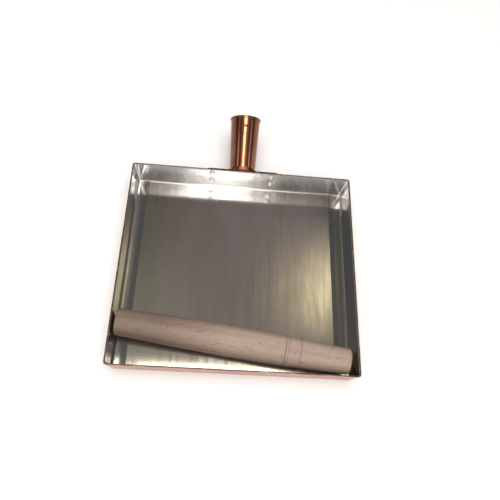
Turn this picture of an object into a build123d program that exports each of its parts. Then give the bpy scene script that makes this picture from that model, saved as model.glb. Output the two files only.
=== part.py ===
from build123d import *
import math
import os

# Tamagoyaki pan: a rectangular copper tray, tinned inside, with a riveted handle socket
# and a loose beech handle that lies in the tray. All lengths are in millimetres.
# The origin is the centre of the tray's underside, +Z is up and the socket points to +Y.

# Copper tray
rim_width = 240.0
rim_length = 220.0
wall_height = 30.0
wall_flare = 3.0
sheet = 1.2
floor_corner_radius = 4.5
fold_radius = 2.6
rim_rounding = 0.4

# Tin lining
tin_thickness = 0.2
bare_rim = 0.6

# Socket sleeve, measured along its own axis from the tray's back wall
socket_sheet = 1.25
socket_reach = 68.5
socket_tilt = 23.0
socket_root_height = 15.0
sleeve_root_radius = 13.85
sleeve_mouth_radius = 16.4
flare_reach = 12.0
flare_width = 38.0
flare_height = 26.0
flare_centre_height = 16.2
lip_height = 0.75
lip_length = 2.2
lip_rounding = 0.6
seam_gap = 1.2
nail_hole_radius = 1.3
nail_hole_setback = 11.5

# Socket ears
ear_sheet = 1.8
ear_span = 86.0
ear_height = 21.0
ear_corner = 8.0
ear_centre_height = 18.8
ear_edge_rounding = 0.5

# Rivets
rivet_spacing_across = 67.0
rivet_spacing_up = 12.5
rivet_shank_radius = 2.0
rivet_hole_clearance = 0.05
rivet_outer_head_radius = 3.8
rivet_outer_head_height = 2.0
rivet_inner_head_radius = 3.4
rivet_inner_head_height = 0.35

# Beech handle
handle_length = 229.0
butt_radius = 13.0
grip_radius = 14.8
shoulder_radius = 15.0
butt_rounding = 1.2
tenon_length = 62.0
tenon_clearance = 0.15
tenon_chamfer = 1.2
ring_groove_depth = 0.5
ring_groove_width = 1.0
ring_groove_spacing = 2.2
scribed_line_setback = 12.0
scribed_line_depth = 0.2
scribed_line_width = 0.6
grip_swell_share = 0.34

# Where the handle lies in the tray
handle_turn = 6.9
handle_set_left = 1.4
handle_floor_gap = 0.4
handle_wall_gap = 1.8

# How far cutting shapes run past what they cut
overrun = 4.0

os.makedirs("parts", exist_ok=True)

# Worked out from the sizes above
flare_angle = math.degrees(math.atan2(wall_flare, wall_height))
flare_slope = wall_flare / wall_height
floor_width = rim_width - 2 * wall_flare
floor_length = rim_length - 2 * wall_flare
lining_inset = sheet + tin_thickness


# Tray forms: a flat floor, flared walls, corners that widen towards the rim and a round fold
# between floor and walls. A form that is set in from the outside of the tray by some
# thickness keeps that thickness square to every wall.
def tray_form(inset, top):
    set_in = inset / math.cos(math.radians(flare_angle)) - inset * flare_slope
    with BuildPart() as form:
        with BuildSketch(Plane.XY.offset(inset)):
            RectangleRounded(
                floor_width - 2 * set_in, floor_length - 2 * set_in, floor_corner_radius - set_in
            )
        extrude(amount=top - inset, taper=-flare_angle)
        fillet(form.edges().group_by(Axis.Z)[0], fold_radius - inset)
    return form.part


# The back wall: planes on its outer face, its inner lined face and the outside of the ears.
# Their X runs along the wall and their Z points out of the tray.
def back_wall_plane(height, depth):
    reach = rim_length / 2 - (wall_height - height) * flare_slope
    wall = Plane(
        origin=(0, reach, height),
        x_dir=(-1, 0, 0),
        z_dir=(0, wall_height, -wall_flare),
    )
    return wall.offset(-depth)


wall_outside = back_wall_plane(ear_centre_height, 0)
wall_inside = back_wall_plane(ear_centre_height, lining_inset)

# Rivet places on those planes
rivet_places = {
    "rivet_left_upper": (rivet_spacing_across / 2, rivet_spacing_up / 2),
    "rivet_left_lower": (rivet_spacing_across / 2, -rivet_spacing_up / 2),
    "rivet_right_upper": (-rivet_spacing_across / 2, rivet_spacing_up / 2),
    "rivet_right_lower": (-rivet_spacing_across / 2, -rivet_spacing_up / 2),
}
rivet_hole_radius = rivet_shank_radius + rivet_hole_clearance


# One round cutter for each rivet, right through ears, wall and lining
def rivet_hole_cutters():
    with BuildPart() as cutters:
        with BuildSketch(wall_outside):
            with Locations(*rivet_places.values()):
                Circle(rivet_hole_radius)
        extrude(amount=lining_inset + ear_sheet + overrun, both=True)
    return cutters.part


hole_cutters = rivet_hole_cutters()

# Copper tray
tray_outer = tray_form(0, wall_height)
tray_hollow = tray_form(sheet, wall_height + overrun)
with BuildPart() as pan_body:
    add(tray_outer)
    add(tray_hollow, mode=Mode.SUBTRACT)
    rim_edges = pan_body.edges().filter_by(
        lambda edge: abs(edge.center().Z - wall_height) < rim_rounding
    )
    fillet(rim_edges, rim_rounding)
    add(hole_cutters, mode=Mode.SUBTRACT)
pan_body.part.label = "pan_body"
export_step(pan_body.part, "parts/pan_body.step")

# Tin lining: fills the tray's hollow up to the bare rim, less its own hollow
lining_top = wall_height - bare_rim
lining_outer = tray_form(sheet, lining_top)
lining_hollow = tray_form(lining_inset, wall_height + overrun)
with BuildPart() as tin_lining:
    add(lining_outer)
    add(lining_hollow, mode=Mode.SUBTRACT)
    add(hole_cutters, mode=Mode.SUBTRACT)
tin_lining.part.label = "tin_lining"
export_step(tin_lining.part, "parts/tin_lining.step")

# Socket axis: starts on the back wall's outer face and rises away from the tray
tilt = math.radians(socket_tilt)
socket_root = back_wall_plane(socket_root_height, 0)
socket_axis = Vector(0, math.cos(tilt), math.sin(tilt))
socket_up = Vector(0, -math.sin(tilt), math.cos(tilt))


# A plane square to the socket's axis, at a distance along it from the wall
def sleeve_plane(distance):
    return Plane(
        origin=socket_root.origin + socket_axis * distance,
        x_dir=(-1, 0, 0),
        z_dir=socket_axis,
    )


def sleeve_radius(distance):
    widening = (sleeve_mouth_radius - sleeve_root_radius) / socket_reach
    return sleeve_root_radius + widening * distance


def bore_radius(distance):
    return sleeve_radius(distance) - socket_sheet


# The oval at the foot of the sleeve, on the wall's outer face and on the outside of the ears
flare_foot = back_wall_plane(flare_centre_height, 0)
flare_top = back_wall_plane(flare_centre_height, -ear_sheet)


# The root of the sleeve: from that oval, on the outside of the ears, to a round tube
def flared_root(oval_inset, tube_inset):
    with BuildPart() as root:
        with BuildSketch(flare_top):
            Ellipse(flare_width / 2 - oval_inset, flare_height / 2 - oval_inset)
        with BuildSketch(sleeve_plane(flare_reach)):
            Circle(sleeve_radius(flare_reach) - tube_inset)
        loft(ruled=True)
    return root.part


# The round, tapered length of the sleeve, from the flared root to its mouth or beyond
def tapered_length(thickness, end):
    foot = sleeve_plane(0)
    section = Plane(origin=foot.origin, x_dir=socket_up, z_dir=(-1, 0, 0))
    with BuildPart() as length:
        with BuildSketch(section):
            with BuildLine():
                Polyline(
                    (0, flare_reach),
                    (sleeve_radius(flare_reach) - thickness, flare_reach),
                    (sleeve_radius(end) - thickness, end),
                    (0, end),
                    close=True,
                )
            make_face()
        revolve(axis=Axis(foot.origin, socket_axis))
    return length.part


root_outer = flared_root(0, 0)
root_bore = flared_root(ear_sheet, socket_sheet)
sleeve_outer = tapered_length(0, socket_reach)
sleeve_bore = tapered_length(socket_sheet, socket_reach + overrun)

with BuildPart() as handle_socket:
    # Ears: one plate on the wall, with a belly where the sleeve's oval foot reaches below it
    with BuildSketch(wall_outside):
        RectangleRounded(ear_span, ear_height, ear_corner)
    with BuildSketch(flare_foot):
        Ellipse(flare_width / 2, flare_height / 2)
    extrude(amount=ear_sheet)
    fillet(handle_socket.faces().sort_by(Axis.Y)[-1].edges(), ear_edge_rounding)
    add(root_outer)
    add(sleeve_outer)
    with BuildSketch(sleeve_plane(socket_reach - lip_length)):
        Circle(sleeve_mouth_radius + lip_height)
    extrude(amount=lip_length)
    lip_edges = handle_socket.edges().filter_by(GeomType.CIRCLE).filter_by(
        lambda edge: abs(edge.radius - sleeve_mouth_radius - lip_height) < lip_rounding
    )
    fillet(lip_edges, lip_rounding)
    add(root_bore, mode=Mode.SUBTRACT)
    add(sleeve_bore, mode=Mode.SUBTRACT)
    with BuildSketch(flare_foot):
        Ellipse(flare_width / 2 - ear_sheet, flare_height / 2 - ear_sheet)
    extrude(amount=ear_sheet, mode=Mode.SUBTRACT)
    # Nail hole, square to the axis on the upper side
    with BuildSketch(
        Plane(
            origin=sleeve_plane(socket_reach - nail_hole_setback).origin,
            x_dir=(-1, 0, 0),
            z_dir=socket_up,
        )
    ):
        Circle(nail_hole_radius)
    extrude(amount=sleeve_mouth_radius + overrun, mode=Mode.SUBTRACT)
    # Seam under the sleeve, where the rolled sheet's two edges meet
    with BuildSketch(sleeve_plane(flare_reach)):
        with Locations((0, -sleeve_mouth_radius)):
            Rectangle(seam_gap, sleeve_mouth_radius)
    extrude(amount=socket_reach, mode=Mode.SUBTRACT)
    add(hole_cutters, mode=Mode.SUBTRACT)
handle_socket.part.label = "handle_socket"
export_step(handle_socket.part, "parts/handle_socket.step")


# A point of a domed head's outline, at a distance from its axis. The dome is part of a ball.
def dome_point(across, head_radius, head_height):
    ball = (head_radius**2 + head_height**2) / (2 * head_height)
    return (across, head_height - ball + math.sqrt(ball**2 - across**2))


# Rivets: a domed head on the ear, a shank through the stack and a low head on the lining
def rivet(name, across, up):
    stack = lining_inset + ear_sheet
    outer_middle = dome_point(
        rivet_outer_head_radius / 2, rivet_outer_head_radius, rivet_outer_head_height
    )
    inner_middle = dome_point(
        rivet_inner_head_radius / 2, rivet_inner_head_radius, rivet_inner_head_height
    )
    foot = wall_inside.from_local_coords((across, up, 0))
    profile_plane = Plane(origin=foot, x_dir=wall_inside.x_dir, z_dir=-wall_inside.y_dir)
    with BuildPart() as piece:
        with BuildSketch(profile_plane):
            with BuildLine():
                Line((0, -rivet_inner_head_height), (0, stack + rivet_outer_head_height))
                ThreePointArc(
                    (0, stack + rivet_outer_head_height),
                    (outer_middle[0], stack + outer_middle[1]),
                    (rivet_outer_head_radius, stack),
                )
                Polyline(
                    (rivet_outer_head_radius, stack),
                    (rivet_shank_radius, stack),
                    (rivet_shank_radius, 0),
                    (rivet_inner_head_radius, 0),
                )
                ThreePointArc(
                    (rivet_inner_head_radius, 0),
                    (inner_middle[0], -inner_middle[1]),
                    (0, -rivet_inner_head_height),
                )
            make_face()
        revolve(axis=Axis(foot, wall_inside.z_dir))
    piece.part.label = name
    export_step(piece.part, f"parts/{name}.step")


for rivet_name, (rivet_across, rivet_up) in rivet_places.items():
    rivet(rivet_name, rivet_across, rivet_up)

# The handle's place: level on the tray's floor, its tenon tip just behind the front wall and
# turned so that the butt stands away from that wall
turn = math.radians(handle_turn)
handle_height = lining_inset + handle_floor_gap + shoulder_radius
tip_radius = bore_radius(socket_reach - tenon_length) - tenon_clearance
wall_lean = math.cos(math.radians(flare_angle))
front_reach = floor_length / 2 + handle_height * flare_slope - lining_inset / wall_lean
tip_back = front_reach - handle_wall_gap - tip_radius / math.cos(turn)
handle_axis = Vector(math.cos(turn), -math.sin(turn), 0)
tip_centre_y = -tip_back
butt_y = tip_centre_y + handle_length * math.sin(turn)
butt_x = -handle_length * math.cos(turn) / 2 - handle_set_left
handle_plane = Plane(
    origin=(butt_x, butt_y, handle_height),
    x_dir=handle_axis,
    z_dir=(math.sin(turn), math.cos(turn), 0),
)

# Beech handle: grip, two ring grooves at its shoulder and a tenon that is tapered like the
# bore and carries one finely scribed line
shoulder_at = handle_length - tenon_length
tenon_start_radius = bore_radius(socket_reach) - tenon_clearance
groove_half = ring_groove_width / 2
first_ring_at = shoulder_at - ring_groove_spacing - groove_half
grip_end_at = first_ring_at - groove_half
swell_at = handle_length * grip_swell_share
scribed_half = scribed_line_width / 2
tenon_taper = (tenon_start_radius - tip_radius) / (tenon_length - tenon_chamfer)


def tenon_radius(beyond_shoulder):
    return tenon_start_radius - tenon_taper * beyond_shoulder


with BuildPart() as wooden_handle:
    with BuildSketch(handle_plane):
        with BuildLine():
            Line((0, 0), (0, butt_radius - butt_rounding))
            RadiusArc(
                (0, butt_radius - butt_rounding),
                (butt_rounding, butt_radius),
                butt_rounding,
            )
            ThreePointArc(
                (butt_rounding, butt_radius),
                (swell_at, grip_radius),
                (grip_end_at, shoulder_radius),
            )
            Polyline(
                (grip_end_at, shoulder_radius),
                (first_ring_at, shoulder_radius - ring_groove_depth),
                (first_ring_at + groove_half, shoulder_radius),
                (shoulder_at - groove_half, shoulder_radius),
                (shoulder_at, tenon_start_radius),
                (
                    shoulder_at + scribed_line_setback - scribed_half,
                    tenon_radius(scribed_line_setback - scribed_half),
                ),
                (
                    shoulder_at + scribed_line_setback,
                    tenon_radius(scribed_line_setback) - scribed_line_depth,
                ),
                (
                    shoulder_at + scribed_line_setback + scribed_half,
                    tenon_radius(scribed_line_setback + scribed_half),
                ),
                (handle_length - tenon_chamfer, tip_radius),
                (handle_length, tip_radius - tenon_chamfer),
                (handle_length, 0),
                (0, 0),
            )
        make_face()
    revolve(axis=Axis(handle_plane.origin, handle_axis))
wooden_handle.part.label = "wooden_handle"
export_step(wooden_handle.part, "parts/wooden_handle.step")
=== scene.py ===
# %% [markdown]
# # A tinned copper omelette pan
#
# This lesson dresses a nearly square omelette pan for its portrait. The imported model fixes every
# size and place. Its socket, rivets and turned handle are kept as they are, and the tray and its
# lining are folded again with tighter corners. The rest is camera, light and finish: wiped tin
# inside the tray, brushed copper outside, a polished copper socket and bare beech.

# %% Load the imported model
import math

import bmesh
import bpy
from mathutils import Matrix, Vector


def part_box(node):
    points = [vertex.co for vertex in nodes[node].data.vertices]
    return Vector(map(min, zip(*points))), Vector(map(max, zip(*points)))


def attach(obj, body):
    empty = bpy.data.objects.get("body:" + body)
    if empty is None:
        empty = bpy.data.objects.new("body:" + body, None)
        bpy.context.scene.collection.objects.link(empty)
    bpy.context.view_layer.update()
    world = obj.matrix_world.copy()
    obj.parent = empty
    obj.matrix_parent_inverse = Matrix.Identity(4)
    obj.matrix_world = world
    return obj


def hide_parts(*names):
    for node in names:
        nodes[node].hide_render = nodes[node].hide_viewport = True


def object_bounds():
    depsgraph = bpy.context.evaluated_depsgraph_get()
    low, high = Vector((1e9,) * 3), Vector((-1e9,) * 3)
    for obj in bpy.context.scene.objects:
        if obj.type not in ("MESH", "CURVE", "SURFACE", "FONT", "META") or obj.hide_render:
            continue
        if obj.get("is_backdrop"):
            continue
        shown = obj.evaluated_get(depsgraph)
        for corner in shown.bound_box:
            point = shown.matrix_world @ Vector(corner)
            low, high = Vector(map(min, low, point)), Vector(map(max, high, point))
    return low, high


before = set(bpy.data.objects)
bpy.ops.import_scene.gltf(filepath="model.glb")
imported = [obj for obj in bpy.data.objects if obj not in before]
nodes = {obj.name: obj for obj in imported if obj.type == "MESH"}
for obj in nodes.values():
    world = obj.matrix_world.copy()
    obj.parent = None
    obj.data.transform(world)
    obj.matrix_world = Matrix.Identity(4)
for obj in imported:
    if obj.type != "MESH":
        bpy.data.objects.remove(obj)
cad_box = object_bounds()
print("pieces from the packed model:", ", ".join(sorted(nodes)))

# %% [markdown]
# ## Camera
#
# The pan was photographed from above its front edge with the camera held askew, so the view is
# steep and rolled by 13 degrees. A camera can be turned by three angles about the axes, but those
# are hard to read. This one is aimed at a point on the tray's floor and then rolled about its own
# line of sight, so that its place, its aim and its roll can each be changed alone. Lens and sensor
# are in millimetres, as in Blender's own panels, and every other length is in metres.

# %% Camera
camera_place = Vector((-0.0297, -0.2122, 0.5097))
camera_target = Vector((0.0132, 0.0285, 0.0))
camera_roll = math.radians(13.03)
camera_lens = 37.343
camera_sensor = 36.0
nearest_seen, farthest_seen = 0.01, 50.0

camera_data = bpy.data.cameras.new("portrait_camera")
camera_data.sensor_width = camera_sensor
camera_data.lens = camera_lens
camera_data.clip_start = nearest_seen
camera_data.clip_end = farthest_seen
camera = bpy.data.objects.new("portrait_camera", camera_data)
bpy.context.scene.collection.objects.link(camera)
line_of_sight = camera_target - camera_place
camera.matrix_world = (
    Matrix.Translation(camera_place)
    @ line_of_sight.to_track_quat("-Z", "Y").to_matrix().to_4x4()
    @ Matrix.Rotation(camera_roll, 4, "Z")
)
bpy.context.scene.camera = camera
bpy.context.scene.view_settings.view_transform = "Standard"
print("camera is", round(line_of_sight.length, 3), "m from the point that it is aimed at")

# %% [markdown]
# ## Tray with tighter corners
#
# The real tray is cut, folded up and hammered square, and its four upright corners end tighter
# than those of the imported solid. Everything else about the solid is right, so the new tray takes
# its rim from the solid's own box and repeats its walls, its fold and its thickness.
#
# A copy of the solid could be reworked instead, but its mesh is loose triangles, which don't bevel
# well. Here each surface starts as a cube with its lid off. The top is spread for the flare, the
# upright edges are bevelled for the corners and then the floor's edges for the fold.

# %% Tray sizes
rim_half_width, rim_half_length, wall_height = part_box("pan_body")[1]
wall_flare = 0.003
copper_thickness = 0.0012
tin_thickness = 0.0002
bare_rim = 0.0006
upright_corner = 0.0030
fold_radius = 0.0026
rim_rounding = 0.0004
corner_steps, fold_steps, rim_steps = 6, 10, 3
level_tolerance = 0.00004

flare_slope = wall_flare / wall_height
floor_half_width = rim_half_width - wall_flare
floor_half_length = rim_half_length - wall_flare
# A fold reaches along floor and wall by its radius times the tangent of half its turn
fold_share = math.tan((math.pi / 2 - math.atan(flare_slope)) / 2)
print("walls lean out", round(math.degrees(math.atan(flare_slope)), 1), "degrees")


# %% One surface of the tray, set in from the outside by some thickness
def round_edges(mesh, edges, offset, steps):
    bmesh.ops.bevel(
        mesh, geom=edges, offset=offset, segments=steps, profile=0.5, affect="EDGES", material=-1
    )


def add_tray_surface(mesh, inset, top):
    for vert in bmesh.ops.create_cube(mesh, size=1.0)["verts"]:
        height = top if vert.co.z > 0 else inset
        # The wall leans out with height, and the inset is measured square to it
        lean = height * flare_slope - inset * math.hypot(1, flare_slope)
        vert.co.x = math.copysign(floor_half_width + lean, vert.co.x)
        vert.co.y = math.copysign(floor_half_length + lean, vert.co.y)
        vert.co.z = height
    half_way = (inset + top) / 2
    lid = [face for face in mesh.faces if all(vert.co.z > half_way for vert in face.verts)]
    upright_edges = [
        edge for edge in mesh.edges
        if min(vert.co.z for vert in edge.verts) < half_way < max(vert.co.z for vert in edge.verts)
    ]
    bmesh.ops.delete(mesh, geom=lid, context="FACES_ONLY")
    round_edges(mesh, upright_edges, upright_corner - inset, corner_steps)
    floor_edges = [
        edge for edge in mesh.edges
        if all(abs(vert.co.z - inset) < level_tolerance for vert in edge.verts)
    ]
    round_edges(mesh, floor_edges, (fold_radius - inset) * fold_share, fold_steps)
    print("surface", round(inset * 1000, 1), "mm in has", len(mesh.faces), "faces")


# %% [markdown]
# Two such surfaces, one inside the other and bridged at the rim, are a sheet with a real
# thickness. A Solidify modifier would do the same from one surface, but it would keep the outer
# corner's radius on the inside. A few straight cuts beside the folds give the flat faces edges of
# their own, so that smooth shading stays in the folds and the flats look flat. Each finished sheet
# rides on the pan and replaces the imported solid that it stands for.

# %% Two surfaces bridged into a sheet
support_gap = 0.0012


def bridge_sheet(outside, inside, top, rounding):
    mesh = bmesh.new()
    add_tray_surface(mesh, inside, top)
    bmesh.ops.reverse_faces(mesh, faces=mesh.faces)
    outer = bmesh.new()
    add_tray_surface(outer, outside, top)
    outer_data = bpy.data.meshes.new("outer_surface")
    outer.to_mesh(outer_data)
    outer.free()
    mesh.from_mesh(outer_data)
    bpy.data.meshes.remove(outer_data)
    rim_edges = [edge for edge in mesh.edges if edge.is_boundary]
    bmesh.ops.bridge_loops(mesh, edges=rim_edges)
    if rounding:
        round_edges(mesh, rim_edges, rounding, rim_steps)
    return mesh


def cut_beside_folds(mesh, top):
    across = floor_half_width - upright_corner - support_gap
    along = floor_half_length - upright_corner - support_gap
    cuts = [((side * across, 0, 0), (1, 0, 0)) for side in (-1, 1)]
    cuts += [((0, side * along, 0), (0, 1, 0)) for side in (-1, 1)]
    cuts += [((0, 0, level), (0, 0, 1)) for level in (fold_radius + support_gap, top - support_gap)]
    for place, normal in cuts:
        everything = list(mesh.verts) + list(mesh.edges) + list(mesh.faces)
        bmesh.ops.bisect_plane(mesh, geom=everything, plane_co=place, plane_no=normal)


# %% Make the copper tray and its lining
def add_object(name, mesh):
    data = bpy.data.meshes.new(name)
    mesh.to_mesh(data)
    mesh.free()
    made = bpy.data.objects.new(name, data)
    bpy.context.scene.collection.objects.link(made)
    print(name, "has", len(data.polygons), "faces")
    return made


def fold_tray(name, outside, inside, top, rounding):
    mesh = bridge_sheet(outside, inside, top, rounding)
    cut_beside_folds(mesh, top)
    for face in mesh.faces:
        face.smooth = True
    piece = add_object(name, mesh)
    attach(piece, "pan")
    return piece


tray = fold_tray("folded_tray", 0.0, copper_thickness, wall_height, rim_rounding)
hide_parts("pan_body")
lining = fold_tray(
    "wiped_lining", copper_thickness, copper_thickness + tin_thickness, wall_height - bare_rim, 0.0
)
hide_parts("tin_lining")

# %% [markdown]
# ## Finishes made of nodes
#
# Every finish below is a handful of shader nodes that work out colour, gloss and relief from a
# point's own place on the object. A painted image would have to be unwrapped and would blur up
# close. A few helpers keep the node work short. A socket takes either a plain value or the output
# of another node.


# %% Helpers that add nodes and fill their sockets
def fill_socket(tree, socket, value):
    if isinstance(value, bpy.types.NodeSocket):
        tree.links.new(value, socket)
    else:
        socket.default_value = value


def fill_sockets(tree, node, **values):
    for name, value in values.items():
        fill_socket(tree, node.inputs[name.replace("_", " ")], value)


def add_node(tree, kind, settings=None, **sockets):
    made = tree.nodes.new(kind)
    for name, value in (settings or {}).items():
        setattr(made, name, value)
    fill_sockets(tree, made, **sockets)
    return made


# %% Helpers that start a finish and put it on pieces
def new_finish(name):
    finish = bpy.data.materials.new(name)
    finish.use_nodes = True
    tree = finish.node_tree
    tree.nodes.clear()
    output = tree.nodes.new("ShaderNodeOutputMaterial")
    shader = tree.nodes.new("ShaderNodeBsdfPrincipled")
    tree.links.new(shader.outputs["BSDF"], output.inputs["Surface"])
    return finish, tree, shader


def dress(finish, *pieces):
    for piece in pieces:
        slots = piece.material_slots
        for slot in slots:
            slot.material = finish
        if not slots:
            piece.data.materials.append(finish)
    print(finish.name, "goes on", ", ".join(piece.name for piece in pieces))


# %% Helpers that work on places and numbers
def object_places(tree, scale=(1, 1, 1), turn=(0, 0, 0)):
    where = add_node(tree, "ShaderNodeTexCoord").outputs["Object"]
    return add_node(
        tree, "ShaderNodeMapping", Vector=where, Scale=scale, Rotation=turn
    ).outputs["Vector"]


def split(tree, places):
    return add_node(tree, "ShaderNodeSeparateXYZ", Vector=places).outputs


def stretch(tree, value, low, high, to_low=0.0, to_high=1.0):
    made = add_node(
        tree, "ShaderNodeMapRange", {"clamp": True}, Value=value,
        From_Min=low, From_Max=high, To_Min=to_low, To_Max=to_high,
    )
    return made.outputs["Result"]


def arithmetic(tree, operation, first, second=0.0):
    made = add_node(tree, "ShaderNodeMath", {"operation": operation})
    for socket, value in zip(made.inputs, (first, second)):
        fill_socket(tree, socket, value)
    return made.outputs["Value"]


# %% [markdown]
# ## Table
#
# The pan stands on a plain white table, a large flat square a hair below the tray. Strong lamps
# would turn a grey table white too, but they would also flood the metal. Here the table's own
# colour does it, and the pan's shadow still falls on it. Lamplight fades far from the pan, so the
# far part of the table shows a flat white of its own to the camera and to mirrors.

# %% Table top
table_half_width = 4.0
table_gap = 0.0001

table_mesh = bmesh.new()
bmesh.ops.create_grid(
    table_mesh, x_segments=1, y_segments=1, size=table_half_width,
    matrix=Matrix.Translation((0, 0, -table_gap)),
)
table = add_object("table_top", table_mesh)
table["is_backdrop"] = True
print("table is", 2 * table_half_width, "m square")

# %% Table finish
table_colour = (0.97, 0.97, 0.97, 1)
table_roughness = 0.85
table_gloss = 0.2
far_white = (0.95, 0.95, 0.945, 1)
fade_begins, fade_ends = 0.6, 1.6

table_finish, tree, shader = new_finish("white_table")
fill_sockets(
    tree, shader, Base_Color=table_colour, Roughness=table_roughness, Specular_IOR_Level=table_gloss
)
ray = add_node(tree, "ShaderNodeLightPath").outputs
seen_straight = arithmetic(tree, "MAXIMUM", ray["Is Camera Ray"], ray["Is Glossy Ray"])
from_middle = add_node(
    tree, "ShaderNodeVectorMath", {"operation": "LENGTH"}, Vector=object_places(tree)
).outputs["Value"]
faded = stretch(tree, from_middle, fade_begins, fade_ends)
flat_white = add_node(tree, "ShaderNodeEmission", Color=far_white, Strength=1.0)
share = arithmetic(tree, "MULTIPLY", seen_straight, faded)
both = add_node(tree, "ShaderNodeMixShader", Fac=share)
tree.links.new(shader.outputs["BSDF"], both.inputs[1])
tree.links.new(flat_white.outputs["Emission"], both.inputs[2])
tree.links.new(both.outputs["Shader"], tree.nodes["Material Output"].inputs["Surface"])
dress(table_finish, table)

# %% [markdown]
# ## The room that the metal mirrors
#
# Tin and copper show little but what they mirror, so the room matters more than usual. It is pale
# near the horizon and dim overhead. Tin that lies flat mirrors the dim ceiling behind the pan,
# and turns dark. A bright stretch in front of the pan draws thin lines down the socket's flanks
# and lights the back corners. One warm glow high behind the right of the pan is the gold patch on
# the tin.
#
# A room could be modelled, or a picture of one wrapped round the scene. A few colour ramps, each
# running from the horizon up, are easier to shift until every reflection lies where it should.
# They are blended by the direction that a ray leaves in. The camera itself sees plain white
# behind the table.

# %% Colours of the room, each at a height that is the sine of its elevation
haze = (0.90, 0.90, 0.89, 1)
dim_wall = (0.11, 0.10, 0.095, 1)
window_white = (2.0, 2.0, 2.0, 1)
horizon = ((0.10, haze), (0.32, dim_wall))

far_left_sky = horizon + ((0.85, (0.080, 0.085, 0.095, 1)),)
left_sky = horizon + (
    (0.85, (0.095, 0.085, 0.060, 1)),
    (0.90, (0.155, 0.142, 0.100, 1)),
    (0.95, (0.26, 0.25, 0.19, 1)),
)
middle_sky = horizon + ((0.85, (0.19, 0.16, 0.155, 1)),)
right_sky = horizon + ((0.85, (0.058, 0.064, 0.075, 1)),)
front_sky = horizon + (
    (0.54, dim_wall),
    (0.58, window_white),
    (0.65, window_white),
    (0.69, (0.31, 0.29, 0.30, 1)),
    (0.74, (0.30, 0.28, 0.29, 1)),
    (0.80, (0.09, 0.075, 0.075, 1)),
    (0.85, (0.12, 0.10, 0.10, 1)),
    (0.90, (0.46, 0.42, 0.40, 1)),
    (0.94, (0.38, 0.34, 0.33, 1)),
    (0.97, (0.25, 0.22, 0.21, 1)),
)
print("the sky in front has", len(front_sky), "colours")


# %% Helpers for colours
def colour_ramp(tree, value, stops):
    made = add_node(tree, "ShaderNodeValToRGB", Fac=value)
    elements = made.color_ramp.elements
    for place, colour in stops[2:]:
        elements.new(place)
    for element, (place, colour) in zip(elements, stops):
        element.position = place
        element.color = colour
    return made.outputs["Color"]


# A Mix node has sockets for every kind of value. These are the ones that it uses for colours.
share_socket, first_socket, second_socket, result_socket = 0, 6, 7, 2


def blend_colours(tree, share, first, second, way="MIX"):
    made = add_node(tree, "ShaderNodeMix", {"data_type": "RGBA", "blend_type": way})
    fill_socket(tree, made.inputs[share_socket], share)
    fill_socket(tree, made.inputs[first_socket], first)
    fill_socket(tree, made.inputs[second_socket], second)
    return made.outputs[result_socket]


# %% The glow, and where one stretch of sky turns into the next
def sky_direction(elevation, azimuth):
    up, round_about = math.radians(elevation), math.radians(azimuth)
    level = math.cos(up)
    return Vector((math.sin(round_about) * level, -math.cos(round_about) * level, math.sin(up)))


far_left_ends = (-0.21, -0.16)
left_ends = (-0.13, -0.01)
right_begins = (0.16, 0.28)
front_ends = (-0.25, 0.0)
glow_colour = (1.10, 0.94, 0.59, 1)
glow_direction = sky_direction(65.0, 147.5)
glow_edge = math.cos(math.radians(5.7))
glow_heart = math.cos(math.radians(1.0))
print("glow comes from", [round(part, 2) for part in glow_direction])

# %% Blend the room
world = bpy.data.worlds.new("studio_room")
bpy.context.scene.world = world
world.use_nodes = True
sky = world.node_tree
sky.nodes.clear()
direction = add_node(sky, "ShaderNodeTexCoord").outputs["Generated"]
parts = split(sky, direction)
far_left, left, middle, right, front = [
    colour_ramp(sky, parts["Z"], stops)
    for stops in (far_left_sky, left_sky, middle_sky, right_sky, front_sky)
]
behind = blend_colours(sky, stretch(sky, parts["X"], *far_left_ends), far_left, left)
behind = blend_colours(sky, stretch(sky, parts["X"], *left_ends), behind, middle)
behind = blend_colours(sky, stretch(sky, parts["X"], *right_begins), behind, right)
room = blend_colours(sky, stretch(sky, parts["Y"], *front_ends, 1.0, 0.0), behind, front)
nearness = add_node(sky, "ShaderNodeVectorMath", {"operation": "DOT_PRODUCT"}, Vector=direction)
nearness.inputs[1].default_value = glow_direction
glow = stretch(sky, nearness.outputs["Value"], glow_edge, glow_heart)
room = blend_colours(sky, glow, room, glow_colour)
to_camera = add_node(sky, "ShaderNodeLightPath").outputs["Is Camera Ray"]
room = blend_colours(sky, to_camera, room, far_white)
background = add_node(sky, "ShaderNodeBackground", Color=room, Strength=1.0)
sky_output = add_node(sky, "ShaderNodeOutputWorld")
sky.links.new(background.outputs["Background"], sky_output.inputs["Surface"])
print("the room is", len(sky.nodes), "nodes")

# %% [markdown]
# ## Lamps
#
# Three soft panels hang over the front of the pan, one above the other, and each is there for a
# reflection. The lowest shows as the white sheen on the back wall, and the next as the white band
# on the floor in front of that wall. The highest and warmest draws the bright line along the
# socket and the sheen on the floor by the front rim. Point lamps would light the pan as well, but
# polished metal would mirror them as dots. A wide soft fill lights the wood and the table evenly.
# It is hidden from mirror rays, so that the tin still shows the dim ceiling.

# %% Lamps
pan_middle = Vector((0.0, 0.0, 0.02))


def softbox(name, elevation, azimuth, distance, width, height, radiance, colour, mirrored=True):
    lamp = bpy.data.lights.new(name, "AREA")
    lamp.shape = "RECTANGLE"
    lamp.size = width
    lamp.size_y = height
    lamp.energy = radiance * math.pi * width * height
    lamp.color = colour
    made = bpy.data.objects.new(name, lamp)
    away = sky_direction(elevation, azimuth)
    made.location = pan_middle + away * distance
    made.rotation_mode = "QUATERNION"
    made.rotation_quaternion = away.to_track_quat("Z", "Y")
    made.visible_camera = False
    made.visible_glossy = mirrored
    bpy.context.scene.collection.objects.link(made)
    print(name, "gives", round(lamp.energy, 1), "W")


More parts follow.
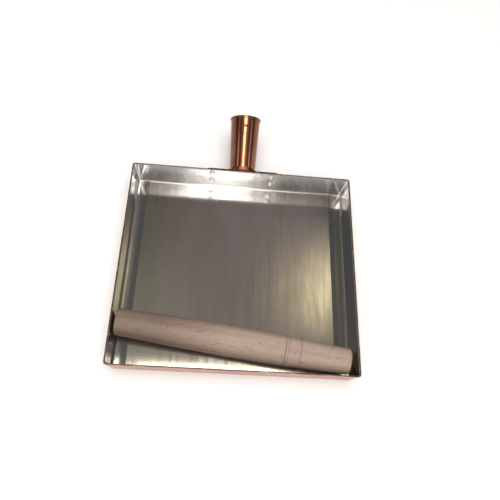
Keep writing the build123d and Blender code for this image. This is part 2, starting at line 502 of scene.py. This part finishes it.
softbox(
    "front_panel", elevation=47, azimuth=1, distance=1.6, width=0.20, height=0.46,
    radiance=5.2, colour=(1.0, 0.99, 0.98),
)
softbox(
    "high_panel", elevation=72, azimuth=-1, distance=1.6, width=0.30, height=0.50,
    radiance=3.6, colour=(1.0, 0.97, 0.92),
)
softbox(
    "streak_panel", elevation=84, azimuth=0, distance=1.6, width=0.60, height=0.34,
    radiance=4.0, colour=(1.0, 0.90, 0.68),
)
softbox(
    "soft_fill", elevation=86, azimuth=0, distance=2.4, width=2.6, height=2.6,
    radiance=2.55, colour=(1.0, 1.0, 1.0), mirrored=False,
)

# %% [markdown]
# ## Tin lining
#
# The inside of the tray is tin, melted and wiped over the copper with a cloth. It is a soft
# mirror with a history. The sheet behind it was rolled and folded, so the floor has long low
# waves from front to back and sinks a little towards each fold. The wiping left fine lines the
# same way, and cloudy patches where it is duller.
#
# All of this is under two millimetres deep and shows only in what the tin mirrors, so it isn't
# modelled but is relief in the finish. Noises that are stretched along Y make the waves and
# lines, and ramps across X and Y make the dips. They are laid over one another from the largest
# to the finest.

# %% Patterns in the tin
slow_wave_scale = (12, 7, 12)
wave_scale = (38, 4, 55)
wipe_scale = (420, 16, 420)
hairline_scale = (2600, 40, 2600)
cloud_scale = (26, 9, 26)
cloud_span = (0.38, 0.72)


def noise(tree, places, scale=1.0, detail=3.0, roughness=0.5):
    return add_node(
        tree, "ShaderNodeTexNoise", Vector=places, Scale=scale, Detail=detail, Roughness=roughness
    ).outputs["Fac"]


tin, tree, shader = new_finish("wiped_tin")
slow_waves = noise(tree, object_places(tree, slow_wave_scale), detail=1.0)
waves = noise(tree, object_places(tree, wave_scale), detail=2.0, roughness=0.4)
wipes = noise(tree, object_places(tree, wipe_scale), detail=4.0, roughness=0.6)
hairlines = noise(tree, object_places(tree, hairline_scale), detail=2.0)
clouds = noise(tree, object_places(tree, cloud_scale), detail=5.0, roughness=0.6)
dullness = stretch(tree, clouds, *cloud_span)
print("the finest lines repeat about every", round(1000 / hairline_scale[0], 1), "mm")

# %% Relief of the tin: where each dip or rise begins and ends, and how far it goes up
dip_margin = 0.00046
foot_across = floor_half_width - dip_margin
foot_along = floor_half_length - dip_margin
right_dip = (foot_across - 0.0148, foot_across, -0.00108)
left_dip = (foot_across - 0.0125, foot_across, -0.00080)
left_fold_rise = (foot_across - 0.0034, foot_across - 0.0018, 0.00033)
back_dip = (foot_along - 0.0365, foot_along, -0.00170)
front_dip = (foot_along - 0.0265, foot_along, -0.00135)
slow_wave_depth = 0.00045
wave_depth = 0.00016
wipe_depth = 0.000018
hairline_depth = 0.0000035

place = split(tree, object_places(tree))
begins, ends, rise = right_dip
relief = stretch(tree, place["X"], begins, ends, 0.0, rise)
for begins, ends, rise in (left_dip, left_fold_rise):
    slope = stretch(tree, place["X"], -ends, -begins, rise, 0.0)
    relief = arithmetic(tree, "ADD", relief, slope)
for side, (begins, ends, rise) in ((1, back_dip), (-1, front_dip)):
    share = stretch(tree, arithmetic(tree, "MULTIPLY", place["Y"], side), begins, ends)
    bowl = arithmetic(tree, "MULTIPLY", arithmetic(tree, "MULTIPLY", share, share), rise)
    relief = arithmetic(tree, "ADD", relief, bowl)
for pattern, depth in (
    (slow_waves, slow_wave_depth),
    (waves, wave_depth),
    (wipes, wipe_depth),
    (hairlines, hairline_depth),
):
    relief = arithmetic(tree, "ADD", relief, arithmetic(tree, "MULTIPLY", pattern, depth))
tin_bump = add_node(tree, "ShaderNodeBump", Height=relief, Distance=1.0)
print("the floor seems to sink by up to", round(-back_dip[2] * 1000, 1), "mm at its back")

# %% Colour and shine of the tin
tin_bright = (0.80, 0.785, 0.765, 1)
tin_dull = (0.66, 0.64, 0.61, 1)
noise_span = (0.3, 0.7)
line_roughness = (0.09, 0.17)
cloud_roughness = 0.07

tin_colour = blend_colours(tree, dullness, tin_bright, tin_dull)
line_shine = stretch(tree, wipes, *noise_span, *line_roughness)
cloud_shine = arithmetic(tree, "MULTIPLY", dullness, cloud_roughness)
fill_sockets(
    tree, shader, Base_Color=tin_colour, Metallic=1.0,
    Roughness=arithmetic(tree, "ADD", line_shine, cloud_shine),
    Normal=tin_bump.outputs["Normal"],
)
dress(tin, lining)

# %% [markdown]
# ## Copper sheet
#
# Outside, the tray is bare copper with a satin brush. It shows as the warm outer walls and as a
# thin brown line round the rim, where the cut edge has darkened and caught smears of tin. One even
# colour would look like paint. Handled copper is mottled, so a slow noise mixes a fresh and a
# darker tone, and a noise that is drawn out along the walls stands for the brush.

# %% Copper sheet finish
new_copper = (0.60, 0.28, 0.185, 1)
handled_copper = (0.46, 0.205, 0.135, 1)
rim_copper = (0.30, 0.17, 0.12, 1)
rim_tin = (0.46, 0.42, 0.38, 1)
rim_begins = wall_height - 0.0014
rim_ends = wall_height - 0.0008
mottle_scale, smear_scale = 30.0, 140.0
brush_scale = (18, 18, 1400)
mottle_span = (0.35, 0.7)
smear_span = (0.5, 0.62)
satin_roughness = (0.24, 0.38)
rim_roughness = 0.1
brush_depth, brush_strength = 0.00002, 0.5

copper, tree, shader = new_finish("brushed_copper")
mottles = noise(tree, object_places(tree), scale=mottle_scale, detail=4.0)
brushing = noise(tree, object_places(tree, brush_scale), detail=3.0)
smears = noise(tree, object_places(tree), scale=smear_scale, detail=3.0)
rim = stretch(tree, split(tree, object_places(tree))["Z"], rim_begins, rim_ends)
outside_colour = blend_colours(
    tree, stretch(tree, mottles, *mottle_span), new_copper, handled_copper
)
rim_colour = blend_colours(tree, stretch(tree, smears, *smear_span), rim_copper, rim_tin)
satin = stretch(tree, brushing, *noise_span, *satin_roughness)
brush_bump = add_node(
    tree, "ShaderNodeBump", Height=brushing, Distance=brush_depth, Strength=brush_strength
)
fill_sockets(
    tree, shader, Base_Color=blend_colours(tree, rim, outside_colour, rim_colour), Metallic=1.0,
    Roughness=arithmetic(tree, "ADD", satin, arithmetic(tree, "MULTIPLY", rim, rim_roughness)),
    Normal=brush_bump.outputs["Normal"],
)
dress(copper, tray)

# %% [markdown]
# ## Socket copper
#
# The socket is rolled from copper and polished, so it is darker and sharper than the tray.
# Rolling leaves it faintly faceted along its length, which breaks up the bright line on its top.
# The facets could be modelled as flats, but they are fainter than that, so a noise that is drawn
# out along the sleeve bends its reflections. Its sides are browner than its top, by their distance
# from the middle of the sleeve.

# %% Socket finish
polished_fresh = (0.62, 0.28, 0.17, 1)
polished_dark = (0.50, 0.205, 0.12, 1)
side_tone = (0.40, 0.36, 0.345, 1)
side_begins, side_ends = 0.0065, 0.0110
polish_scale = 60.0
rolling_scale = (70, 26, 26)
rolling_depth = 0.0004
polish_roughness = (0.09, 0.16)

polished, tree, shader = new_finish("polished_copper")
mottles = noise(tree, object_places(tree), scale=polish_scale, detail=4.0)
rolling = noise(tree, object_places(tree, rolling_scale), detail=2.0)
off_middle = arithmetic(tree, "ABSOLUTE", split(tree, object_places(tree))["X"])
side = stretch(tree, off_middle, side_begins, side_ends)
socket_colour = blend_colours(
    tree, stretch(tree, mottles, *mottle_span), polished_fresh, polished_dark
)
rolled = add_node(tree, "ShaderNodeBump", Height=rolling, Distance=rolling_depth)
fill_sockets(
    tree, shader, Base_Color=blend_colours(tree, side, socket_colour, side_tone, "MULTIPLY"),
    Metallic=1.0, Roughness=stretch(tree, mottles, *noise_span, *polish_roughness),
    Normal=rolled.outputs["Normal"],
)
dress(polished, nodes["handle_socket"])

# %% [markdown]
# ## Rivets
#
# Four copper rivets hold the socket. Their inner heads were tinned with the tray, so the metal is
# copper outside and tin inside. Two finishes on two groups of faces could show that. One finish
# that turns from copper to tin within the wall and the socket's ear, where nobody can see the
# change, needs no sorting of faces. Fine specks in its relief are the marks of the hammer.

# %% Rivet finish
rivet_copper = (0.70, 0.34, 0.24, 1)
rivet_copper_dark = (0.56, 0.25, 0.17, 1)
rivet_tin = (0.72, 0.705, 0.685, 1)
rivet_tin_dark = (0.54, 0.52, 0.50, 1)
tin_stops = rim_half_length - 0.0015
copper_starts = rim_half_length - 0.0005
speck_scale = 700.0
speck_depth = 0.00004
rivet_roughness = (0.18, 0.3)

rivets = [nodes[name] for name in sorted(nodes) if name.startswith("rivet")]
rivet_metal, tree, shader = new_finish("tinned_rivets")
specks = noise(tree, object_places(tree), scale=speck_scale, detail=3.0)
depth_in = split(tree, object_places(tree))["Y"]
tinned = stretch(tree, depth_in, tin_stops, copper_starts, 1.0, 0.0)
bare = blend_colours(tree, specks, rivet_copper, rivet_copper_dark)
coated = blend_colours(tree, specks, rivet_tin, rivet_tin_dark)
hammering = add_node(tree, "ShaderNodeBump", Height=specks, Distance=speck_depth)
fill_sockets(
    tree, shader, Base_Color=blend_colours(tree, tinned, bare, coated), Metallic=1.0,
    Roughness=stretch(tree, specks, *noise_span, *rivet_roughness),
    Normal=hammering.outputs["Normal"],
)
dress(rivet_metal, *rivets)

# %% [markdown]
# ## Beech
#
# The handle is bare beech: pinkish beige, with short reddish flecks along the grain. Grain and
# flecks are two noises, drawn out along the wood. The handle lies at an angle in the tray, so the
# places are first turned to the wood's own length and only then stretched. A Mapping node does
# these two steps the other way round, which would lay the grain askew, so a separate node does
# the stretching. Painted shade darkens the wood towards the butt, and three fine rings near the
# shoulder are darker. Where they lie is measured on the imported handle, from its two ends.

# %% Measure the handle along its own length
handle_turn = math.radians(6.9)
straightened = Matrix.Rotation(handle_turn, 3, "Z")
handle_points = [straightened @ vert.co for vert in nodes["wooden_handle"].data.vertices]
butt_end = min(point.x for point in handle_points)
tip_end = max(point.x for point in handle_points)
print("the handle is", round((tip_end - butt_end) * 1000, 1), "mm long")

# %% Wood grain
grain_scale = (6, 160, 160)
fleck_scale = (170, 900, 900)
fleck_span = (0.63, 0.71)
fleck_share = 0.65
pale_beech = (0.43, 0.325, 0.262, 1)
dark_beech = (0.33, 0.238, 0.183, 1)
fleck_colour = (0.21, 0.085, 0.052, 1)


def scaled_places(tree, places, scale):
    made = add_node(tree, "ShaderNodeVectorMath", {"operation": "MULTIPLY"}, Vector=places)
    made.inputs[1].default_value = scale
    return made.outputs["Vector"]


beech, tree, shader = new_finish("bare_beech")
along_wood = object_places(tree, turn=(0, 0, handle_turn))
grain = noise(tree, scaled_places(tree, along_wood, grain_scale), detail=4.0)
flecks = noise(tree, scaled_places(tree, along_wood, fleck_scale), detail=1.0)
wood_colour = blend_colours(tree, stretch(tree, grain, *noise_span), dark_beech, pale_beech)
flecked = stretch(tree, flecks, *fleck_span, 0.0, fleck_share)
wood_colour = blend_colours(tree, flecked, wood_colour, fleck_colour)
print("the grain is turned", round(math.degrees(handle_turn), 1), "degrees")

# %% Butt, rings and shine of the wood
# The butt's tone and the span where it fades out are painted shade, darkening the wood towards the
# butt
painted_butt_shade = (0.55, 0.52, 0.50, 1)
butt_shade = (butt_end + 0.0404, butt_end + 0.1104)
tenon_length = 0.062
ring_spacing = 0.0027
line_setback = 0.012
shoulder = tip_end - tenon_length
ring_places = (shoulder - ring_spacing, shoulder, shoulder + line_setback)
ring_colour = (0.13, 0.08, 0.055, 1)
# How far each darker ring reaches to either side, from full strength to none
ring_blur = (0.00025, 0.00060)
ring_share = 0.45
wood_roughness = (0.6, 0.48)
pore_depth = 0.00008

along = split(tree, along_wood)["X"]
# Painted shade: the wood's colour is darkened towards the butt end
painted_shade_share = stretch(tree, along, *butt_shade, 1.0, 0.0)
wood_colour = blend_colours(tree, painted_shade_share, wood_colour, painted_butt_shade, "MULTIPLY")
for ring_place in ring_places:
    apart = arithmetic(tree, "ABSOLUTE", arithmetic(tree, "SUBTRACT", along, ring_place))
    near_ring = stretch(tree, apart, *ring_blur, ring_share, 0.0)
    wood_colour = blend_colours(tree, near_ring, wood_colour, ring_colour)
pores = add_node(tree, "ShaderNodeBump", Height=grain, Distance=pore_depth)
fill_sockets(
    tree, shader, Base_Color=wood_colour,
    Roughness=stretch(tree, grain, *noise_span, *wood_roughness),
    Normal=pores.outputs["Normal"],
)
from_tip = [round((tip_end - ring_place) * 1000, 1) for ring_place in ring_places]
print("the rings lie", from_tip, "mm from the tip")
dress(beech, nodes["wooden_handle"])

# %% [markdown]
# ## Size before and after the work
#
# A dressed piece must not outgrow the model that it stands for. The box round everything was
# measured before the work and is measured again here, and both are printed.

# %% Print the two boxes
visual_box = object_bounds()
for name, box in (("packed", cad_box), ("dressed", visual_box)):
    print("the", name, "model's highest corner is", [round(value, 4) for value in box[1]])
